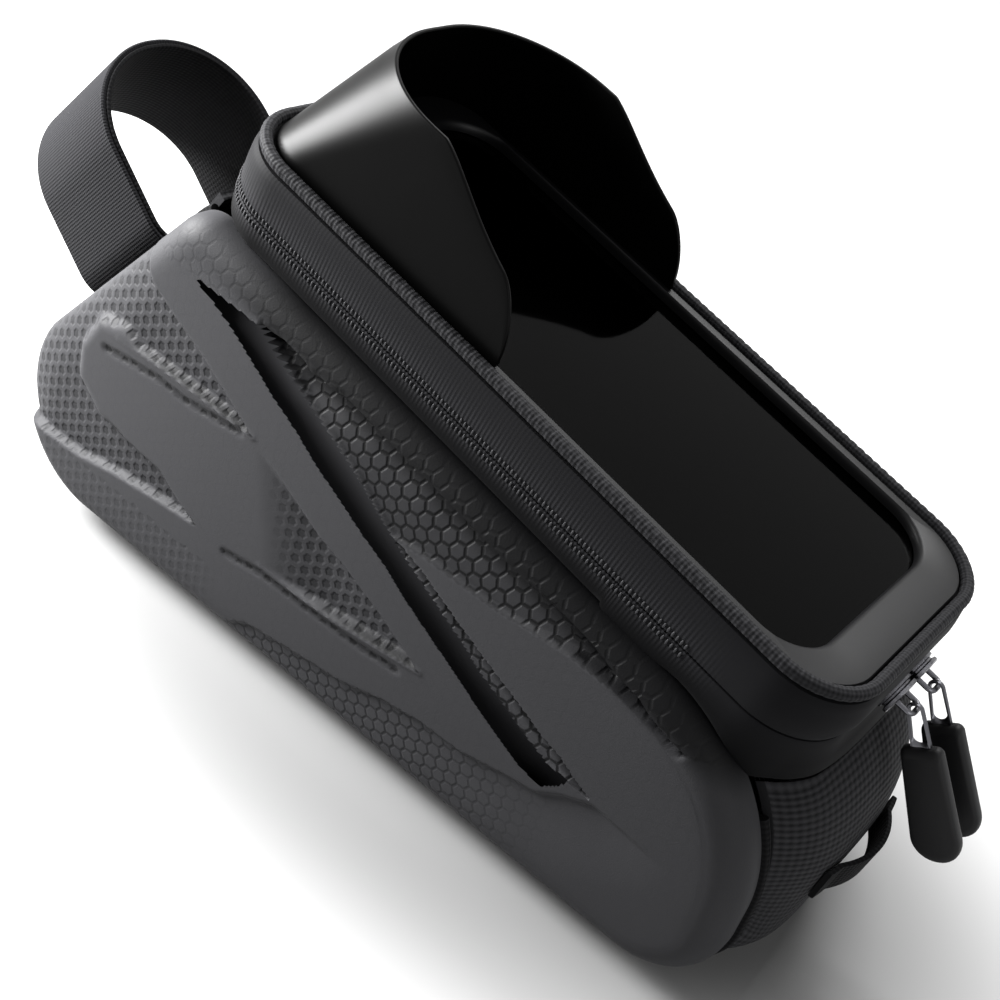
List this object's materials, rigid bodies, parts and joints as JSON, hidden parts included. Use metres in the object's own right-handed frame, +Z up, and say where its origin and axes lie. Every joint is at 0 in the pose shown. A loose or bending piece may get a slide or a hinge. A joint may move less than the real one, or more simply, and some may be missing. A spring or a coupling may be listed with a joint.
{
  "type": "top tube phone bag",
  "caption": "Bicycle top tube bag with moulded side shells, a ribbed gusset, a zipped lid with a phone window under a glossy hood, and a strap loop for the head tube.",
  "frame": {"origin": "middle of the flat underside of the base pad, which lies on the bicycle's top tube", "axes": "+X along the tube towards the rider, -X towards the stem, +Z up, -Y the shown side"},
  "size_m": [0.3188, 0.0996, 0.1698],
  "materials": {
    "shell": "moulded foam skin with a fine honeycomb texture",
    "woven": "ribbed and woven black cloth",
    "frame": "smooth satin",
    "hood": "high gloss",
    "film": "clear dark film",
    "foam": "matt foam-backed cloth",
    "pull": "moulded rubber with a raised pattern",
    "metal": "polished",
    "pad": "grip rubber"
  },
  "bodies": {
    "body": {"base_pad": "pad", "gusset_band": "woven", "head_tube_strap": "woven", "light_loop": "woven", "piping_left": "woven", "piping_right": "woven", "rim_band": "woven", "side_shell_left": "shell", "side_shell_right": "shell", "strap_keeper": "woven", "tube_strap_front": "woven", "tube_strap_rear": "woven", "zip_tape_lower": "woven"},
    "lid": {"lid_binding": "woven", "lid_frame": "frame", "lid_wall": "woven", "phone_pad": "foam", "phone_pocket": "foam", "visor_hood": "hood", "window_film": "film", "zip_tape_upper": "woven"},
    "slider_left": {"slider_left": "metal"},
    "slider_right": {"slider_right": "metal"},
    "pull_left": {"pull_eye_left": "metal", "pull_tab_left": "pull"},
    "pull_right": {"pull_eye_right": "metal", "pull_tab_right": "pull"}
  },
  "joints": [
    {"name": "lid_hinge", "type": "hinge", "parent": "body", "child": "lid", "pos_m": [-0.06712, 0, 0.12677], "axis": [0, -1, 0], "range_deg": [0, 95]},
    {"name": "slider_left_travel", "type": "slide", "parent": "body", "child": "slider_left", "axis": [0, -1, 0], "range_m": [0, 0.017]},
    {"name": "slider_right_travel", "type": "slide", "parent": "body", "child": "slider_right", "axis": [0, 1, 0], "range_m": [0, 0.005]},
    {"name": "pull_left_swing", "type": "hinge", "parent": "slider_left", "child": "pull_left", "pos_m": [0.13418, 0, 0.08029], "axis": [0, -1, 0], "range_deg": [-7, 130]},
    {"name": "pull_right_swing", "type": "hinge", "parent": "slider_right", "child": "pull_right", "pos_m": [0.13418, 0.012, 0.08029], "axis": [0, -1, 0], "range_deg": [-7, 130]}
  ]
}
